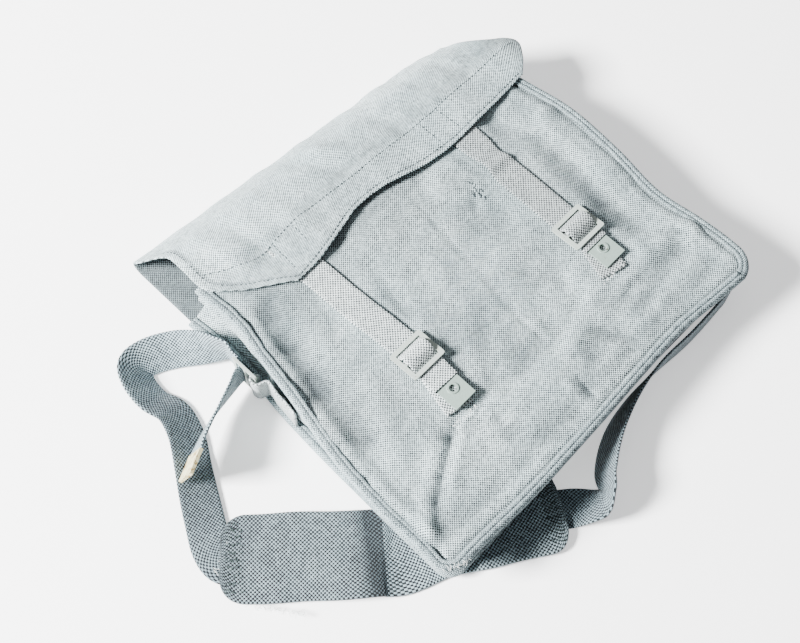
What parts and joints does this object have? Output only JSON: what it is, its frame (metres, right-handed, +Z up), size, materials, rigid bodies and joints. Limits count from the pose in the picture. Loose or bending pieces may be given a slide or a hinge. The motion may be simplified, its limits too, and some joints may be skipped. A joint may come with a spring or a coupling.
{
  "type": "military pannier",
  "caption": "Blue-grey canvas military pannier lying on its back, flap buckled down with webbing straps, padded shoulder strap gathered beside it.",
  "frame": {"origin": "on the floor under the back panel, where the bag rests on its back", "axes": "+X across the bag to the wearer's left of the closed front, +Y to the mouth and flap, +Z up from the back panel to the front panel"},
  "size_m": [0.5112, 0.4327, 0.0635],
  "materials": {
    "canvas": "heavy woven cotton canvas, faded",
    "edging": "narrow cotton tape, worn",
    "pale_webbing": "woven cotton webbing, pale",
    "dark_webbing": "woven cotton webbing, darker and soiled",
    "painted_metal": "pale paint worn to brass at the edges",
    "aged_brass": "dull, tarnished"
  },
  "bodies": {
    "root": {"front_panel": "canvas", "back_panel": "canvas", "gusset": "canvas", "flap": "canvas", "front_binding": "edging", "back_binding": "edging", "closing_strap_left": "pale_webbing", "closing_strap_right": "pale_webbing", "buckle_chape_left": "pale_webbing", "buckle_chape_right": "pale_webbing", "side_tab": "pale_webbing", "shoulder_strap_left": "dark_webbing", "shoulder_strap_right": "dark_webbing", "shoulder_pad": "dark_webbing", "buckle_left": "painted_metal", "buckle_right": "painted_metal", "side_buckle": "painted_metal", "strap_end_left": "aged_brass", "strap_end_right": "aged_brass", "strap_tip": "aged_brass"}
  },
  "joints": []
}
